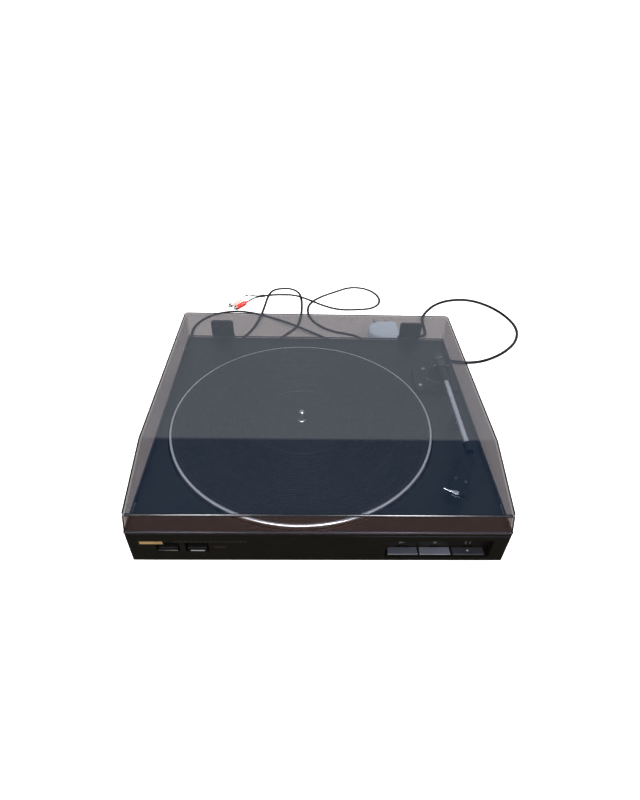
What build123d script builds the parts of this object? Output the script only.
"""A fully automatic belt-drive record player with a smoked dust cover.

Millimetres. +X is the player's right side seen from the front, +Y is its back and +Z is up.
The origin lies on the surface that the feet stand on, under the middle of the player.
Each solid below is one piece of the player and goes to a STEP file of its own.
"""
import os
from math import acos, cos, pi, radians, sin, tan

from build123d import *

# ---------------------------------------------------------------- driving dimensions
WIDTH = 360.0                    # plinth and cover, side to side
DEPTH = 330.0                    # plinth and cover, front to back
HINGE_REACH = 12.0               # how far the cover hinges stand out behind
WALL = 2.5                       # moulded walls of plinth and cover
FOOT_HEIGHT = 12.0
PLINTH_TOP = 53.0
COVER_BASE = 53.7                # lower edge of the cover when it is shut
COVER_FRONT_TOP = 73.0           # top of the cover's upright front wall
COVER_FRONT_LEAN = 6.7           # how far that wall leans back
COVER_SLOPE_END = 85.2           # front to the crease where the sloped panel ends
COVER_TOP = 94.2
COVER_ROUNDING = 3.2             # rounding of the cover's upper edges
BUMPER_INSET = 30.0              # the cover's bumpers stand this far in from front and back
BUMPER_LENGTH = 12.0

PLATTER_X, PLATTER_Y = -19.0, -16.0
PLATTER_R = 148.5
PLATTER_RIM = 2.5                # width of the bare metal ring round the mat
PLATTER_RIM_TOP = 57.0
PLATTER_RIM_ROUND = 2.0          # rounding of the rim's outer top edge
PLATTER_DECK_TOP = 55.3
MAT_TOP = 57.6
SPINDLE_R = 3.6                  # standard record spindle, 7.2 mm across
SPINDLE_TOP = 70.0
SPINDLE_BASE = 57.2              # where the cone of the thicker shaft below ends
SHAFT_R = 4.5                    # the shaft that the platter turns on
LABEL_R = 52.0                   # the mat is lower inside this radius, clear of a record's label
LABEL_DROP = 0.8
RUNNING_GAP = 0.05               # radial clearance of a shaft in its hole
WELL_R = 150.5
WELL_FLOOR_TOP = 42.5
MOTOR_HOLE_R = 8.0
CAM_AXLE_R = 3.0
ARM_HOLE_R = 7.0
BOSS_R = 4.0
SCREW_R = 1.5
FOOT_SCREW_R = 2.1

BELT_RING_R = 95.0               # ring under the platter that the belt runs on
PULLEY_R = 5.0
PULLEY_FLANGE_R = 6.4
MOTOR_SHAFT_R = 1.25
MOTOR_SCREW_RING_R = 14.0
MOTOR_SCREW_ANGLES = (60, 180, 300)
PULLEY_DISTANCE = 118.0          # platter centre to motor shaft
PULLEY_ANGLE = 135.0             # direction from platter centre to motor shaft
BELT_THICKNESS = 0.8
BELT_GAP = 0.3

GEAR_MODULE = 1.25
HUB_TEETH = 16
CAM_TEETH = 80
CAM_ANGLE = 27.0                 # direction from platter centre to cam gear centre
CAM_HOLES, CAM_HOLE_RING_R, CAM_HOLE_R = 6, 15.0, 4.5

ARM_X, ARM_Y, ARM_Z = 157.5, 74.0, 70.0      # tonearm pivot
ARM_TUBE_R = 3.15
ARM_BEND_Y = -79.0               # where the headshell turns off the tube
HEADSHELL_ANGLE = 25.0
HEADSHELL_LENGTH = 62.0
HEADSHELL_TOP = 70.5
STYLUS_REACH = 58.0              # bend to stylus tip along the headshell
STYLUS_TIP_Z = 59.8
LIFTER_R = 30.0                  # the lifter's bar lies on this radius round the pivot
LIFTER_STEM_ANGLE = -110.0       # direction from the pivot to the lifter's stem
LIFTER_STEM_R = 2.5
LIFTER_SPAN = (-84, -112, -138)  # directions of the bar's ends and middle
ARM_SHAFT_R = 4.0
PIVOT_PIN_R = 1.5
COUNTERWEIGHT_R = 7.0

HINGE_X = 132.0
HINGE_WIDTH = 30.0
HINGE_PIN_Z = 50.0
HINGE_PIN_R = 2.0
HINGE_KNUCKLE_R = 4.4
HINGE_LEAF_TOP = 78.5
HINGE_LEAF_THICKNESS = 4.4
HINGE_NECK = 12.0                # width of the leaf's knuckle between the bracket's two
HINGE_BRACKET_THICKNESS = 2.6

KEY_SPANS = {"start_key": (66.2, 95.2), "stop_key": (97.6, 127.2), "lift_key": (129.6, 160.2)}
KEY_POCKET_X = (63.0, 165.0)
KEY_POCKET_Z = (16.4, 44.0)
KEY_POCKET_DEPTH = 9.0
KEY_TOP = 21.5
KEY_LIP = 2.6                    # how far a key's front and sides reach down
BUTTON_CENTRES = {"size_button": -143.0, "speed_button": -115.5}
BUTTON_POCKET_WIDTH = 22.0
BUTTON_POCKET_Z = (26.0, 40.0)
BUTTON_POCKET_DEPTH = 11.5
BUTTON_WIDTH = 18.0
BADGE_X, BADGE_Z = (-169.5, -145.5), (36.6, 43.4)

SIGNAL_R = 1.8                   # twin screened lead, taken as round
LEAD_R = 1.2                     # each single lead after the split
POWER_R = 2.25
SIGNAL_EXIT_X, POWER_EXIT_X, EXIT_Z = -62.0, 112.0, 24.0
PLUG_X = (84.0, 130.0)           # the mains plug lies behind the player
PLUG_Y = 236.0
PLUG_WIDTH = 52.0
PLUG_HEIGHT = 24.0
PLUG_SHOULDER = 16.0
PLUG_CORNER = 14.0
PLUG_EDGE = 3.0
PLUG_PIN_R = 2.4
PLUG_PIN_SPACING = 19.0
PLUG_PIN_LENGTH = 19.0
SIGNAL_BOOT_LENGTH = 16.0
POWER_BOOT_LENGTH = 20.0

# ---------------------------------------------------------------- places that follow
FRONT_Y = -(DEPTH + HINGE_REACH) / 2
BACK_Y = FRONT_Y + DEPTH
HALF_WIDTH = WIDTH / 2
HINGE_PIN_Y = BACK_Y + HINGE_REACH - HINGE_KNUCKLE_R
PULLEY_X = PLATTER_X + PULLEY_DISTANCE * cos(radians(PULLEY_ANGLE))
PULLEY_Y = PLATTER_Y + PULLEY_DISTANCE * sin(radians(PULLEY_ANGLE))
CAM_DISTANCE = GEAR_MODULE * (HUB_TEETH + CAM_TEETH) / 2
CAM_X = PLATTER_X + CAM_DISTANCE * cos(radians(CAM_ANGLE))
CAM_Y = PLATTER_Y + CAM_DISTANCE * sin(radians(CAM_ANGLE))
HEAD_DIR = Vector(-sin(radians(HEADSHELL_ANGLE)), -cos(radians(HEADSHELL_ANGLE)), 0)
HEAD_SIDE = Vector(-HEAD_DIR.Y, HEAD_DIR.X, 0)
PANEL_BACK_Y = FRONT_Y + WALL

pieces = {}


# ---------------------------------------------------------------- helpers
def box(x, y, z):
    """A box given by its lowest and highest X, Y and Z."""
    size = (x[1] - x[0], y[1] - y[0], z[1] - z[0])
    centre = ((x[0] + x[1]) / 2, (y[0] + y[1]) / 2, (z[0] + z[1]) / 2)
    return Pos(*centre) * Box(*size)


def post(x, y, z, radius):
    """An upright cylinder between two heights."""
    return Pos(x, y, (z[0] + z[1]) / 2) * Cylinder(radius, z[1] - z[0])


def bar(x, y, z, radius):
    """A cylinder lying along X between two X positions."""
    return Pos((x[0] + x[1]) / 2, y, z) * Rot(0, 90, 0) * Cylinder(radius, x[1] - x[0])


def rod(x, y, z, radius):
    """A cylinder lying along Y between two Y positions."""
    return Pos(x, (y[0] + y[1]) / 2, z) * Rot(90, 0, 0) * Cylinder(radius, y[1] - y[0])


def turned(points):
    """A solid of revolution about +Z from (radius, height) points."""
    outline = Polyline(*[(r, 0, z) for r, z in points], close=True)
    return revolve(make_face(outline), Axis.Z)


def rounded_block(x, y, z, radius):
    """A block with rounded upright edges."""
    block = box(x, y, z)
    return fillet(block.edges().filter_by(Axis.Z), radius)


def gear_outline(teeth, first_angle, missing=()):
    """A spur gear's outline: a root disc with straight-flanked teeth standing on it."""
    pitch_r = GEAR_MODULE * teeth / 2
    pitch = pi * GEAR_MODULE
    root_r = pitch_r - 0.96 * GEAR_MODULE
    tip_r = pitch_r + 0.72 * GEAR_MODULE
    outline = Circle(root_r)
    for tooth in range(teeth):
        if tooth in missing:
            continue
        flank = Polyline((root_r - 0.6, 0.27 * pitch), (pitch_r, 0.20 * pitch), (tip_r, 0.12 * pitch),
                         (tip_r, -0.12 * pitch), (pitch_r, -0.20 * pitch),
                         (root_r - 0.6, -0.27 * pitch), close=True)
        outline += Rot(0, 0, first_angle + 360 * tooth / teeth) * make_face(flank)
    return outline


def screw_up(x, y, z_head, length, radius, head_radius):
    """A screw with its head below and its shank pointing up."""
    head = post(x, y, (z_head, z_head + 1.6), head_radius)
    slot = box((x - head_radius, x + head_radius), (y - 0.4, y + 0.4), (z_head - 0.1, z_head + 0.7))
    return head - slot + post(x, y, (z_head + 1.6, z_head + length), radius)


# ---------------------------------------------------------------- dust cover
def cover_block(inset, lowest):
    """The cover's outer shape moved in by a wall thickness, down to a lowest height."""
    below = COVER_BASE - lowest
    lean = COVER_FRONT_LEAN / (COVER_FRONT_TOP - COVER_BASE)
    outline = Polyline(
        (0, FRONT_Y - below * lean, lowest),
        (0, FRONT_Y + COVER_FRONT_LEAN, COVER_FRONT_TOP),
        (0, FRONT_Y + COVER_SLOPE_END, COVER_TOP),
        (0, BACK_Y, COVER_TOP),
        (0, BACK_Y, lowest),
        close=True)
    face = make_face(outline)
    if inset:
        face = offset(face, amount=-inset, kind=Kind.INTERSECTION)
    half = HALF_WIDTH - inset
    return extrude(face, amount=half, dir=(1, 0, 0), both=True)


def make_cover():
    outer = cover_block(0, COVER_BASE)
    lower = outer.faces().sort_by(Axis.Z)[0].edges()
    outer = fillet(outer.edges() - lower, COVER_ROUNDING)
    inner = cover_block(WALL, COVER_BASE - 12)
    shell = outer - inner
    pieces["dust_cover"] = shell
    bumpers = []
    for x in (-HALF_WIDTH + WALL / 2, HALF_WIDTH - WALL / 2):
        for y in (FRONT_Y + BUMPER_INSET, BACK_Y - BUMPER_INSET):
            span = (y - BUMPER_LENGTH / 2, y + BUMPER_LENGTH / 2)
            bumpers.append(box((x - 1, x + 1), span, (PLINTH_TOP + RUNNING_GAP, COVER_BASE)))
    pieces["cover_bumpers"] = Compound(children=bumpers)


def make_hinges():
    pins = []
    for side, x in (("left", -HINGE_X), ("right", HINGE_X)):
        half = HINGE_WIDTH / 2
        knuckle = HINGE_KNUCKLE_R
        hole = bar((x - half - 1, x + half + 1), HINGE_PIN_Y, HINGE_PIN_Z, HINGE_PIN_R + RUNNING_GAP)
        plate = box((x - half, x + half), (BACK_Y, BACK_Y + HINGE_LEAF_THICKNESS),
                    (HINGE_PIN_Z + 6.2, HINGE_LEAF_TOP))
        plate = fillet(plate.edges().filter_by(Axis.Y).group_by(Axis.Z)[-1], 3)
        middle = (x - HINGE_NECK / 2, x + HINGE_NECK / 2)
        neck = box(middle, (HINGE_PIN_Y - knuckle, HINGE_PIN_Y), (HINGE_PIN_Z, HINGE_PIN_Z + 7))
        leaf = plate + neck + bar(middle, HINGE_PIN_Y, HINGE_PIN_Z, knuckle) - hole
        pieces[f"hinge_leaf_{side}"] = leaf
        bracket = box((x - half, x + half), (BACK_Y, BACK_Y + HINGE_BRACKET_THICKNESS),
                      (34, HINGE_PIN_Z - 5))
        for near, far in ((6.4, half), (-half, -6.4)):
            span = (x + near, x + far)
            bracket += bar(span, HINGE_PIN_Y, HINGE_PIN_Z, knuckle)
            bracket += box(span, (BACK_Y, HINGE_PIN_Y), (HINGE_PIN_Z - 6, HINGE_PIN_Z))
        pin = bar((x - half - 0.6, x + half + 0.6), HINGE_PIN_Y, HINGE_PIN_Z, HINGE_PIN_R)
        pieces[f"hinge_bracket_{side}"] = bracket - pin
        pins.append(pin)
    pieces["hinge_pins"] = Compound(children=pins)


# ---------------------------------------------------------------- plinth
BOSSES = [(-168, -148), (168, -148), (-168, 148), (168, 148), (-60, 151), (60, 151)]
VENT_ROWS, VENT_FIRST_Y, VENT_PITCH, VENT_WIDTH = 5, -70.0, 30.0, 4.0
VENT_X = (-110.0, -60.0)
FEET = {"front_left": (-145, -140), "front_right": (145, -140),
        "back_left": (-145, 128), "back_right": (145, 128)}


def make_plinth():
    outer = box((-HALF_WIDTH, HALF_WIDTH), (PANEL_BACK_Y, BACK_Y), (FOOT_HEIGHT, PLINTH_TOP))
    upright = outer.edges().filter_by(Axis.Z).group_by(Axis.Y)[-1]
    outer = fillet(upright, 3)
    inner = box((-HALF_WIDTH + WALL, HALF_WIDTH - WALL), (PANEL_BACK_Y - 1, BACK_Y - WALL),
                (FOOT_HEIGHT - 1, PLINTH_TOP - WALL))
    shell = outer - inner
    for x, y in BOSSES:
        shell += post(x, y, (FOOT_HEIGHT + WALL, PLINTH_TOP - WALL), BOSS_R)
    shell += post(PLATTER_X, PLATTER_Y, (WELL_FLOOR_TOP - WALL, PLINTH_TOP), WELL_R + 2) & outer
    shell -= post(PLATTER_X, PLATTER_Y, (WELL_FLOOR_TOP, PLINTH_TOP + 1), WELL_R)
    shell += post(PLATTER_X, PLATTER_Y, (WELL_FLOOR_TOP - 8, WELL_FLOOR_TOP), 10)
    shell += post(CAM_X, CAM_Y, (WELL_FLOOR_TOP - 8, WELL_FLOOR_TOP), 7)
    shell -= post(PLATTER_X, PLATTER_Y, (20, 50), SHAFT_R + RUNNING_GAP)
    shell -= post(CAM_X, CAM_Y, (20, 50), CAM_AXLE_R + RUNNING_GAP)
    shell -= post(PULLEY_X, PULLEY_Y, (20, 50), MOTOR_HOLE_R)
    shell -= post(ARM_X, ARM_Y, (20, 60), ARM_HOLE_R)
    for x, y in BOSSES:
        shell -= post(x, y, (FOOT_HEIGHT, FOOT_HEIGHT + 14), SCREW_R)
    for x, radius in ((SIGNAL_EXIT_X, 3.2), (POWER_EXIT_X, 4.2)):
        shell -= rod(x, (BACK_Y - 5, BACK_Y + 1), EXIT_Z, radius)
    for angle in MOTOR_SCREW_ANGLES:
        x = PULLEY_X + MOTOR_SCREW_RING_R * cos(radians(angle))
        y = PULLEY_Y + MOTOR_SCREW_RING_R * sin(radians(angle))
        shell -= post(x, y, (38, 46), 1.9)
    x, y = lifter_stem()
    shell -= post(x, y, (40, 60), 3.2)
    pieces["plinth"] = shell


def make_bottom():
    gap = 0.2
    cover = box((-HALF_WIDTH + WALL + gap, HALF_WIDTH - WALL - gap),
                (PANEL_BACK_Y + gap, BACK_Y - WALL - gap), (FOOT_HEIGHT, FOOT_HEIGHT + WALL))
    screws = []
    for x, y in BOSSES:
        cover -= post(x, y, (0, 30), 1.7)
        cover -= post(x, y, (FOOT_HEIGHT - 1, FOOT_HEIGHT + 0.9), 3.3)
        screws.append(screw_up(x, y, FOOT_HEIGHT - 0.7, 11, SCREW_R, 3.2))
    for row in range(VENT_ROWS):
        y = VENT_FIRST_Y + VENT_PITCH * row
        cover -= box(VENT_X, (y, y + VENT_WIDTH), (0, 30))
    for name, (x, y) in FEET.items():
        cover -= post(x, y, (0, 30), 2.2)
        foot = turned([(3.6, 0), (16.5, 0), (18, 1.5), (19, FOOT_HEIGHT), (2.2, FOOT_HEIGHT),
                       (2.2, 5), (3.6, 5)])
        pieces[f"foot_{name}"] = Pos(x, y, 0) * foot
        screws.append(screw_up(x, y, 3.2, 11, FOOT_SCREW_R, 3.4))
    pieces["bottom_cover"] = cover
    pieces["bottom_screws"] = Compound(children=screws)


def pocket(panel, x, z, depth, wall=1.8):
    """Sink an open-fronted box into the front panel."""
    panel += box((x[0] - wall, x[1] + wall), (PANEL_BACK_Y, FRONT_Y + depth + wall),
                 (z[0] - wall, z[1] + wall))
    return panel - box(x, (FRONT_Y - 1, FRONT_Y + depth), z)


def make_front():
    panel = box((-HALF_WIDTH, HALF_WIDTH), (FRONT_Y, PANEL_BACK_Y), (FOOT_HEIGHT, PLINTH_TOP))
    panel = fillet(panel.edges().filter_by(Axis.Z).group_by(Axis.Y)[0], 2.2)
    panel = pocket(panel, KEY_POCKET_X, KEY_POCKET_Z, KEY_POCKET_DEPTH)
    panel += box((KEY_POCKET_X[0], KEY_POCKET_X[1]), (FRONT_Y, FRONT_Y + 1.2),
                 (KEY_POCKET_Z[0] - 1.8, KEY_POCKET_Z[0]))
    for name, (low, high) in KEY_SPANS.items():
        middle = (low + high) / 2
        panel -= box((middle - 5, middle + 5), (FRONT_Y + KEY_POCKET_DEPTH - 1, FRONT_Y + 16), (16.8, 24))
        cap = box((low, high), (FRONT_Y + 0.3, FRONT_Y + KEY_POCKET_DEPTH - 0.5), (KEY_TOP - 1.6, KEY_TOP))
        cap += box((low, high), (FRONT_Y + 0.3, FRONT_Y + 2.1), (KEY_TOP - KEY_LIP, KEY_TOP))
        for x in (low, high - 1.4):
            cap += box((x, x + 1.4), (FRONT_Y + 0.3, FRONT_Y + KEY_POCKET_DEPTH - 0.5),
                       (KEY_TOP - KEY_LIP, KEY_TOP))
        front_edge = cap.edges().filter_by(Axis.X).sort_by(lambda e: e.center().Y - e.center().Z)[0]
        cap = fillet(front_edge, 0.7)
        arm = box((middle - 4, middle + 4), (FRONT_Y + KEY_POCKET_DEPTH - 1.2, FRONT_Y + 26),
                  (KEY_TOP - KEY_LIP + 0.2, KEY_TOP - 0.3))
        pieces[name] = cap + arm
    for name, middle in BUTTON_CENTRES.items():
        half = BUTTON_POCKET_WIDTH / 2
        panel = pocket(panel, (middle - half, middle + half), BUTTON_POCKET_Z, BUTTON_POCKET_DEPTH)
        panel -= box((middle - 3.4, middle + 3.4), (FRONT_Y + 5, FRONT_Y + 20), (27.4, 31.6))
        cap = box((middle - BUTTON_WIDTH / 2, middle + BUTTON_WIDTH / 2), (FRONT_Y + 0.4, FRONT_Y + 8.6),
                  (26.8, 32.2))
        cap = fillet(cap.edges().group_by(Axis.Y)[0], 0.6)
        stem = box((middle - 3, middle + 3), (FRONT_Y + 8.6, FRONT_Y + 24), (27.8, 31.2))
        pieces[name] = cap + stem
    badge = box(BADGE_X, (FRONT_Y + 0.05, FRONT_Y + 0.8), BADGE_Z)
    badge = fillet(badge.edges().filter_by(Axis.Y), 1.2)
    pieces["badge"] = badge
    pieces["front_panel"] = panel - badge


# ---------------------------------------------------------------- platter and drive
def make_platter():
    rim_inner = PLATTER_R - PLATTER_RIM
    underside = PLATTER_DECK_TOP - 2.3
    gear_z = (43.7, 46.6)
    profile = [(SHAFT_R + RUNNING_GAP, gear_z[1]), (12, gear_z[1]), (12, underside),
               (BELT_RING_R - 2.6, underside), (BELT_RING_R - 2.6, 47.4), (BELT_RING_R, 47.4),
               (BELT_RING_R, underside), (rim_inner - 1, underside), (rim_inner - 1, 45),
               (PLATTER_R - 0.6, 45), (PLATTER_R, 45.6), (PLATTER_R, PLATTER_RIM_TOP - PLATTER_RIM_ROUND),
               (PLATTER_R - 0.3 * PLATTER_RIM_ROUND, PLATTER_RIM_TOP - 0.3 * PLATTER_RIM_ROUND),
               (PLATTER_R - PLATTER_RIM_ROUND, PLATTER_RIM_TOP), (rim_inner, PLATTER_RIM_TOP),
               (rim_inner, PLATTER_DECK_TOP), (SHAFT_R + RUNNING_GAP, PLATTER_DECK_TOP)]
    platter = turned(profile)
    for angle in (PULLEY_ANGLE, PULLEY_ANGLE + 180):
        platter -= Rot(0, 0, angle) * post(PULLEY_DISTANCE, 0, (50, 60), 15)
    pinion = gear_outline(HUB_TEETH, CAM_ANGLE) - Circle(SHAFT_R + RUNNING_GAP)
    platter += Pos(0, 0, gear_z[0]) * extrude(pinion, amount=gear_z[1] - gear_z[0])
    pieces["platter"] = Pos(PLATTER_X, PLATTER_Y, 0) * platter
    mat = turned([(SHAFT_R + 0.5, PLATTER_DECK_TOP), (rim_inner - 0.2, PLATTER_DECK_TOP),
                  (rim_inner - 0.2, MAT_TOP - 0.5), (rim_inner - 0.7, MAT_TOP), (LABEL_R, MAT_TOP),
                  (LABEL_R - LABEL_DROP, MAT_TOP - LABEL_DROP), (SHAFT_R + 0.5, MAT_TOP - LABEL_DROP)])
    pieces["platter_mat"] = Pos(PLATTER_X, PLATTER_Y, 0) * mat
    cone = SHAFT_R - SPINDLE_R
    spindle = turned([(0, 36), (SHAFT_R, 36), (SHAFT_R, WELL_FLOOR_TOP), (8, WELL_FLOOR_TOP),
                      (8, 43.4), (SHAFT_R, 43.4), (SHAFT_R, SPINDLE_BASE - cone),
                      (SPINDLE_R, SPINDLE_BASE), (SPINDLE_R, SPINDLE_TOP - 4),
                      (SPINDLE_R - 0.5, SPINDLE_TOP - 1.8), (SPINDLE_R - 1.6, SPINDLE_TOP - 0.5),
                      (0, SPINDLE_TOP)])
    pieces["spindle"] = Pos(PLATTER_X, PLATTER_Y, 0) * spindle


def belt_loop(ring_r, pulley_r):
    """The area inside a belt round two wheels: two discs and the strip between their tangents."""
    lean = acos((ring_r - pulley_r) / PULLEY_DISTANCE)
    points = []
    for centre, radius, turn in ((0, ring_r, lean), (PULLEY_DISTANCE, pulley_r, lean),
                                 (PULLEY_DISTANCE, pulley_r, -lean), (0, ring_r, -lean)):
        points.append((centre + radius * cos(turn), radius * sin(turn)))
    between = make_face(Polyline(*points, close=True))
    return Circle(ring_r) + Pos(PULLEY_DISTANCE, 0) * Circle(pulley_r) + between


def make_drive():
    place = Pos(PLATTER_X, PLATTER_Y, 48.2) * Rot(0, 0, PULLEY_ANGLE)
    inner = belt_loop(BELT_RING_R + BELT_GAP, PULLEY_R + BELT_GAP)
    outer = belt_loop(BELT_RING_R + BELT_GAP + BELT_THICKNESS, PULLEY_R + BELT_GAP + BELT_THICKNESS)
    pieces["drive_belt"] = place * extrude(outer - inner, amount=3.4)
    can = turned([(1.3, 18), (16, 18), (17, 19), (17, 36), (1.3, 36)])
    flange = turned([(1.3, 36), (18, 36), (18, 37.2), (1.3, 37.2)])
    motor = can + flange
    grommets = []
    screws = []
    for angle in MOTOR_SCREW_ANGLES:
        spot = Rot(0, 0, angle) * Pos(MOTOR_SCREW_RING_R, 0, 0)
        motor -= spot * post(0, 0, (30, 40), 1.2)
        grommets.append(spot * turned([(1.4, 37.2), (3.6, 37.2), (3.6, 40), (1.4, 40)]))
        head = post(0, 0, (WELL_FLOOR_TOP, WELL_FLOOR_TOP + 1.4), 2.6)
        head -= box((-3, 3), (-0.35, 0.35), (43.3, 45))
        screws.append(spot * (head + post(0, 0, (31, WELL_FLOOR_TOP), 1.15)))
    at_motor = Pos(PULLEY_X, PULLEY_Y, 0)
    pieces["motor"] = at_motor * motor
    pieces["motor_grommets"] = at_motor * Compound(children=grommets)
    pieces["motor_screws"] = at_motor * Compound(children=screws)
    pieces["motor_shaft"] = at_motor * post(0, 0, (20, 52.5), MOTOR_SHAFT_R)
    flange_r = PULLEY_FLANGE_R
    pulley = turned([(MOTOR_SHAFT_R, 46.8), (flange_r, 46.8), (flange_r, 47.8), (PULLEY_R, 47.8),
                     (PULLEY_R, 51.9), (flange_r, 51.9), (flange_r, 52.4), (MOTOR_SHAFT_R, 52.4)])
    pieces["motor_pulley"] = at_motor * pulley


def make_cam():
    half_tooth = 180 / CAM_TEETH
    facing = CAM_ANGLE + 180 + half_tooth
    missing = (0, 1, 2, CAM_TEETH - 1, CAM_TEETH - 2, CAM_TEETH - 3)
    outline = gear_outline(CAM_TEETH, facing, missing)
    gear = Pos(0, 0, 43.7) * extrude(outline, amount=2.6)
    track = turned([(26, 42.9), (29, 42.9), (29, 43.7), (26, 43.7)])
    gear += Pos(6, 4, 0) * track
    gear += post(0, 0, (42.9, 47), 7)
    gear -= post(0, 0, (30, 60), CAM_AXLE_R + RUNNING_GAP)
    for turn in range(CAM_HOLES):
        gear -= Rot(0, 0, 360 / CAM_HOLES * turn + 15) * post(CAM_HOLE_RING_R, 0, (30, 60), CAM_HOLE_R)
    pieces["cam_gear"] = Pos(CAM_X, CAM_Y, 0) * gear
    axle = turned([(0, 36), (CAM_AXLE_R, 36), (CAM_AXLE_R, 47.2), (4.4, 47.2), (4.4, 48), (0, 48)])
    pieces["cam_axle"] = Pos(CAM_X, CAM_Y, 0) * axle


# ---------------------------------------------------------------- tonearm
def lifter_stem():
    """Where the lifter's stem stands."""
    angle = radians(LIFTER_STEM_ANGLE)
    return ARM_X + LIFTER_R * cos(angle), ARM_Y + LIFTER_R * sin(angle)


def make_arm_base():
    base = rounded_block((123, 176), (38, 86), (PLINTH_TOP, 58), 6)
    tower = turned([(0, 58), (14, 58), (13, 61), (0, 61)])
    base += Pos(ARM_X, ARM_Y, 0) * tower
    base -= post(ARM_X, ARM_Y, (40, 70), ARM_SHAFT_R + RUNNING_GAP)
    x, y = lifter_stem()
    base -= post(x, y, (40, 70), LIFTER_STEM_R + RUNNING_GAP)
    pieces["tonearm_base"] = base
    ring = Pos(ARM_X, ARM_Y, 62.8) * extrude(Circle(LIFTER_R + 2) - Circle(LIFTER_R - 2), amount=2.4)
    reach = 2 * LIFTER_R
    rays = [(reach * cos(radians(turn)), reach * sin(radians(turn))) for turn in LIFTER_SPAN]
    wedge = make_face(Polyline((0, 0), *rays, close=True))
    saddle = ring & Pos(ARM_X, ARM_Y, 60) * extrude(wedge, amount=10)
    pieces["arm_lifter"] = saddle + post(x, y, (44, 63), LIFTER_STEM_R)
    rest_y = (-26, -18)
    rest = rounded_block((151, 166), (rest_y[0] - 2, rest_y[1] + 2), (PLINTH_TOP, 55), 2)
    rest += box((153.5, 163.4), rest_y, (55, ARM_Z - ARM_TUBE_R - 0.35))
    rest += box((161.2, 163.4), rest_y, (55, ARM_Z + 2))
    pieces["arm_rest"] = rest


def make_arm_pivot():
    pivot = Pos(ARM_X, ARM_Y, 0)
    shaft = turned([(0, 36), (ARM_SHAFT_R, 36), (ARM_SHAFT_R, 61.4), (0, 61.4)])
    pieces["arm_shaft"] = pivot * shaft
    yoke = rounded_block((-10.2, 10.2), (-6, 6), (61.4, 63.4), 2)
    for side in (-1, 1):
        ear = box((min(side * 7.2, side * 10.2), max(side * 7.2, side * 10.2)), (-5, 5), (63, ARM_Z + 4.6))
        top = ear.edges().filter_by(Axis.X).group_by(Axis.Z)[-1]
        yoke += fillet(top, 4)
    yoke -= bar((-12, 12), 0, ARM_Z, PIVOT_PIN_R + RUNNING_GAP)
    pieces["gimbal_yoke"] = pivot * yoke
    pieces["pivot_pin"] = pivot * bar((-10, 10), 0, ARM_Z, PIVOT_PIN_R)
    block = box((-6.2, 6.2), (-8, 8), (ARM_Z - 4.6, ARM_Z + 5))
    block = fillet(block.edges().filter_by(Axis.Y), 1.5)
    from_base = (Align.CENTER, Align.CENTER, Align.MIN)
    collar = Pos(0, -8, ARM_Z) * Rot(90, 0, 0) * Cone(4.6, 4.0, 26, align=from_base)
    block += collar
    block -= rod(0, (-60, -10), ARM_Z, ARM_TUBE_R)
    block -= bar((-12, 12), 0, ARM_Z, PIVOT_PIN_R)
    pieces["pivot_block"] = pivot * block
    weight = rod(0, (8, 21), ARM_Z, COUNTERWEIGHT_R)
    weight = fillet(weight.edges(), 1.2)
    pieces["counterweight"] = pivot * weight


def head_point(along, across, height):
    """A point on the headshell: along it from the bend, to its left, and up."""
    spot = HEAD_DIR * along + HEAD_SIDE * across
    return ARM_X + spot.X, ARM_BEND_Y + spot.Y, height


def head_outline(points, z):
    """An upright solid whose plan is given along and across the headshell."""
    corners = [head_point(along, across, z[0]) for along, across in points]
    return extrude(make_face(Polyline(*corners, close=True)), amount=z[1] - z[0], dir=(0, 0, 1))


def make_arm():
    tube = rod(ARM_X, (ARM_BEND_Y + 3, ARM_Y - 10), ARM_Z, ARM_TUBE_R)
    bore = rod(ARM_X, (ARM_BEND_Y + 2, ARM_Y - 9), ARM_Z, ARM_TUBE_R - 0.6)
    pieces["arm_tube"] = tube - bore
    socket = rod(ARM_X, (ARM_BEND_Y - 2, ARM_BEND_Y + 15), ARM_Z, 4.1)
    socket -= rod(ARM_X, (ARM_BEND_Y + 3, ARM_BEND_Y + 16), ARM_Z, ARM_TUBE_R)
    plan = [(-2, -4), (10, -5.5), (24, -8.8), (HEADSHELL_LENGTH - 3, -8.8), (HEADSHELL_LENGTH, -6),
            (HEADSHELL_LENGTH, 6), (HEADSHELL_LENGTH - 3, 8.8), (24, 8.8), (10, 5.5), (-2, 4)]
    shell = head_outline(plan, (66.6, HEADSHELL_TOP))
    shell -= rod(ARM_X, (ARM_BEND_Y + 3, ARM_BEND_Y + 16), ARM_Z, ARM_TUBE_R)
    shell -= head_outline([(28, -6.8), (60, -6.8), (60, 6.8), (28, 6.8)], (66, 68.7))
    pieces["headshell"] = shell + socket
    body = [(30, -6.5), (59, -6.5), (59, 6.5), (30, 6.5)]
    cartridge = head_outline(body, (62.4, 68.7))
    pieces["cartridge"] = cartridge
    tip = head_point(STYLUS_REACH, 0, STYLUS_TIP_Z)
    guard = head_outline([(42, -4), (58.6, -4), (58.6, 4), (42, 4)], (61.4, 62.4))
    cantilever = head_outline([(46, -0.5), (58.6, -0.5), (58.6, 0.5), (46, 0.5)], (60.8, 61.4))
    needle = Pos(tip[0], tip[1], (60.8 + STYLUS_TIP_Z) / 2) * Cylinder(0.4, 60.8 - STYLUS_TIP_Z)
    pieces["stylus"] = guard + cantilever + needle
    blade = head_outline([(56.8, -1), (60.2, -1), (60.0, -9), (59.4, -13.4), (57.2, -13.4), (56.8, -9)],
                         (HEADSHELL_TOP, HEADSHELL_TOP + 1))
    pieces["finger_lift"] = blade


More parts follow.
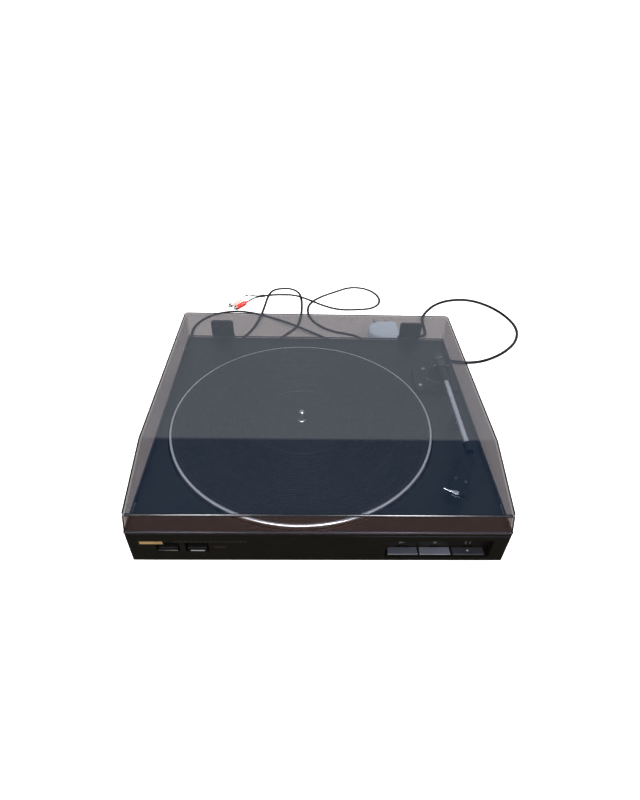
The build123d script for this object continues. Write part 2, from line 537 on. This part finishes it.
# ---------------------------------------------------------------- electrics
TRANSFORMER_X, TRANSFORMER_Y, TRANSFORMER_TOP = (-160.0, -122.0), (112.0, 148.0), 38.0
BOARD_X, BOARD_Y, BOARD_Z = (64.0, 168.0), (88.0, 134.0), (24.0, 25.6)


def make_electrics():
    core = box(TRANSFORMER_X, TRANSFORMER_Y, (FOOT_HEIGHT + WALL, TRANSFORMER_TOP))
    winding_x = (TRANSFORMER_X[0] + 6, TRANSFORMER_X[1] - 6)
    winding_y = (TRANSFORMER_Y[0] - 6, TRANSFORMER_Y[1] + 6)
    winding = rounded_block(winding_x, winding_y, (17, TRANSFORMER_TOP - 2.5), 4)
    pieces["transformer"] = core + winding
    board = box(BOARD_X, BOARD_Y, BOARD_Z)
    for x in (BOARD_X[0] + 5, BOARD_X[1] - 5):
        for y in (BOARD_Y[0] + 5, BOARD_Y[1] - 5):
            board += post(x, y, (FOOT_HEIGHT + WALL, BOARD_Z[0]), 3)
    pieces["circuit_board"] = board
    parts = []
    for x in (78, 90, 102):
        parts.append(post(x, 122, (BOARD_Z[1], BOARD_Z[1] + 11), 4))
    for x in (84, 108, 132):
        parts.append(box((x - 8, x + 8), (98, 105), (BOARD_Z[1], BOARD_Z[1] + 3.4)))
    parts.append(box((122, 146), (114, 126), (BOARD_Z[1], BOARD_Z[1] + 7)))
    pieces["board_components"] = Compound(children=parts)


# ---------------------------------------------------------------- cords
def length_between(a, b):
    return (Vector(*b) - Vector(*a)).length


def cord(name, points, radius):
    """A tube along straight runs joined by arcs as large as the runs allow."""
    radii = []
    for before, corner, after in zip(points, points[1:], points[2:]):
        turn = radians((Vector(*corner) - Vector(*before)).get_angle(Vector(*after) - Vector(*corner)))
        shorter = min(length_between(before, corner), length_between(corner, after))
        radii.append(0.45 * shorter / tan(turn / 2))
    path = FilletPolyline(*points, radius=radii)
    start = Plane(origin=points[0], z_dir=path % 0)
    tube = sweep(start * Circle(radius), path=path)
    ratio = tube.volume / (pi * radius ** 2 * path.length)
    print(name, "length", round(path.length), "smallest radius", round(min(radii), 1),
          "volume ratio", round(ratio, 4))
    print("   radii", [round(r) for r in radii])
    return tube


SIGNAL_START_Y = BACK_Y + SIGNAL_BOOT_LENGTH
POWER_START_Y = BACK_Y + POWER_BOOT_LENGTH
FLOOR = SIGNAL_R
OVER = 9.0                       # height of a cord's middle where it crosses over another
SIGNAL_ROUTE = [
    (SIGNAL_EXIT_X, SIGNAL_START_Y, EXIT_Z), (SIGNAL_EXIT_X, 188, EXIT_Z), (-62, 202, 17),
    (-61, 218, 6), (-57, 236, FLOOR), (-45, 253, FLOOR), (-31, 270, FLOOR), (-25, 297, FLOOR),
    (-23, 332, FLOOR), (-24, 364, FLOOR), (-28, 391, FLOOR), (-44, 407, FLOOR), (-65, 406, 4.5),
    (-79, 392, OVER), (-85, 366, OVER), (-88, 333, OVER), (-92, 300, OVER), (-100, 270, FLOOR),
    (-112, 243, FLOOR), (-132, 216, FLOOR), (-162, 203, FLOOR), (-191, 218, FLOOR),
    (-204, 250, FLOOR), (-195, 284, FLOOR), (-172, 311, FLOOR), (-139, 322, FLOOR),
    (-105, 317, FLOOR), (-75, 302, FLOOR), (-45, 281, OVER), (-15, 259, OVER),
    (13, 243, FLOOR), (34, 225, FLOOR), (53, 209, FLOOR), (71, 211, FLOOR),
    (79, 229, FLOOR), (70, 246, FLOOR), (50, 254, FLOOR), (29, 260, FLOOR),
    (9, 274, FLOOR), (-7, 296, FLOOR), (-14, 324, FLOOR), (-10, 352, FLOOR),
    (9, 376, FLOOR), (37, 396, FLOOR), (66, 416, FLOOR), (96, 411, FLOOR),
    (115, 387, FLOOR), (117, 358, FLOOR), (101, 337, FLOOR), (72, 332, FLOOR),
    (41, 331, FLOOR), (12, 341, OVER), (-13, 362, OVER), (-37, 377, OVER),
    (-62, 383, FLOOR), (-82, 380, FLOOR), (-91, 377, FLOOR)]
COLLAR_LENGTH = 8.0
WHITE_TAIL = (-127, 367, 4.3)
WHITE_BEND = (-121, 376.3, 4.3)
RED_TAIL = (-119, 352, 3.4)
RED_BEND = (-114, 362, 1.75)
POWER_ROUTE = [
    (POWER_EXIT_X, POWER_START_Y, EXIT_Z), (POWER_EXIT_X, 193, EXIT_Z), (119, 206, 19),
    (133, 213, 10), (150, 208, 3.5), (170, 195, POWER_R), (192, 183, POWER_R), (217, 176, POWER_R),
    (244, 176, POWER_R), (271, 187, POWER_R), (300, 208, POWER_R), (326, 238, POWER_R),
    (339, 276, POWER_R), (332, 316, POWER_R), (311, 352, POWER_R), (279, 373, POWER_R),
    (243, 370, POWER_R), (214, 353, POWER_R), (195, 329, POWER_R), (183, 307, POWER_R),
    (181, 284, POWER_R), (181, 264, POWER_R), (178, 249, 4), (170, 239, 7.5),
    (159, PLUG_Y, 11), (147, PLUG_Y, PLUG_HEIGHT / 2)]


def phono_plug(tail, direction, lead_r):
    """A phono plug lying along a direction, and its lead's end at the tail."""
    profile = [(0, 0), (lead_r + 0.3, 0), (2.6, 9), (4.2, 10.5), (4.2, 28), (3.7, 29), (3.7, 30),
               (4.15, 30), (4.15, 38), (3.4, 38), (3.4, 31), (1.6, 31), (1.6, 42.5), (0.9, 44), (0, 44)]
    return Plane(origin=tail, z_dir=direction.normalized()) * turned(profile)


def boot(x, length, cord_r, flange_r):
    """A strain relief in the back wall: a plug in the hole, a flange and a tapered sleeve."""
    inner = BACK_Y - WALL
    profile = [(0, 0), (flange_r - 1.9, 0), (flange_r - 1.9, WALL), (flange_r, WALL), (flange_r, WALL + 2),
               (cord_r + 2, WALL + 2), (cord_r + 0.8, WALL + length), (0, WALL + length)]
    return Plane(origin=(x, inner, EXIT_Z), z_dir=(0, 1, 0)) * turned(profile)


def make_cords():
    pieces["signal_gland"] = boot(SIGNAL_EXIT_X, SIGNAL_BOOT_LENGTH, SIGNAL_R, 5)
    pieces["power_gland"] = boot(POWER_EXIT_X, POWER_BOOT_LENGTH, POWER_R, 6)
    pieces["signal_cable"] = cord("signal_cable", SIGNAL_ROUTE, SIGNAL_R)
    pieces["power_cord"] = cord("power_cord", POWER_ROUTE, POWER_R)
    start = Vector(*SIGNAL_ROUTE[-1])
    along = (start - Vector(*SIGNAL_ROUTE[-2])).normalized()
    across = Vector(-along.Y, along.X, 0)
    collar = extrude(RectangleRounded(6.6, 3.6, 1.5), amount=COLLAR_LENGTH)
    pieces["cable_collar"] = Plane(origin=start, x_dir=across, z_dir=along) * collar
    split = start + along * COLLAR_LENGTH
    leads = (("white", -1.6, WHITE_BEND, WHITE_TAIL), ("red", 1.6, RED_BEND, RED_TAIL))
    for colour, side, bend, tail in leads:
        begin = split + across * side
        route = [tuple(begin), tuple(begin + along * 8), bend, tail]
        pieces[f"{colour}_lead"] = cord(f"{colour}_lead", route, LEAD_R)
        pieces[f"{colour}_plug"] = phono_plug(tail, Vector(*tail) - Vector(*bend), LEAD_R)


def make_mains_plug():
    body = box(PLUG_X, (PLUG_Y - PLUG_WIDTH / 2, PLUG_Y + PLUG_WIDTH / 2), (0, PLUG_HEIGHT))
    upright = body.edges().filter_by(Axis.Z)
    body = fillet(upright.group_by(Axis.X)[0], PLUG_SHOULDER)
    body = fillet(body.edges().filter_by(Axis.Z).group_by(Axis.X)[-1], PLUG_CORNER)
    body = fillet(body.edges().group_by(Axis.Z)[-1], PLUG_EDGE)
    end = Vector(*POWER_ROUTE[-1])
    direction = (end - Vector(*POWER_ROUTE[-2])).normalized()
    tail = Plane(origin=end, z_dir=direction) * turned(
        [(0, 0), (POWER_R + 0.9, 0), (POWER_R + 2.6, 14), (POWER_R + 2.6, 19), (0, 19)])
    pieces["mains_plug"] = body + tail
    pins = []
    middle = (PLUG_X[0] + PLUG_X[1]) / 2
    back = PLUG_Y + PLUG_WIDTH / 2
    for side in (-1, 1):
        x = middle + side * PLUG_PIN_SPACING / 2
        pins.append(rod(x, (back, back + PLUG_PIN_LENGTH), PLUG_HEIGHT / 2, PLUG_PIN_R))
    pieces["plug_pins"] = Compound(children=pins)


make_cover()
make_hinges()
make_plinth()
make_bottom()
make_front()
make_platter()
make_drive()
make_cam()
make_arm_base()
make_arm_pivot()
make_arm()
make_electrics()
make_cords()
make_mains_plug()

os.makedirs("parts", exist_ok=True)
for node, shape in pieces.items():
    export_step(shape, f"parts/{node}.step")
print(len(pieces), "nodes")
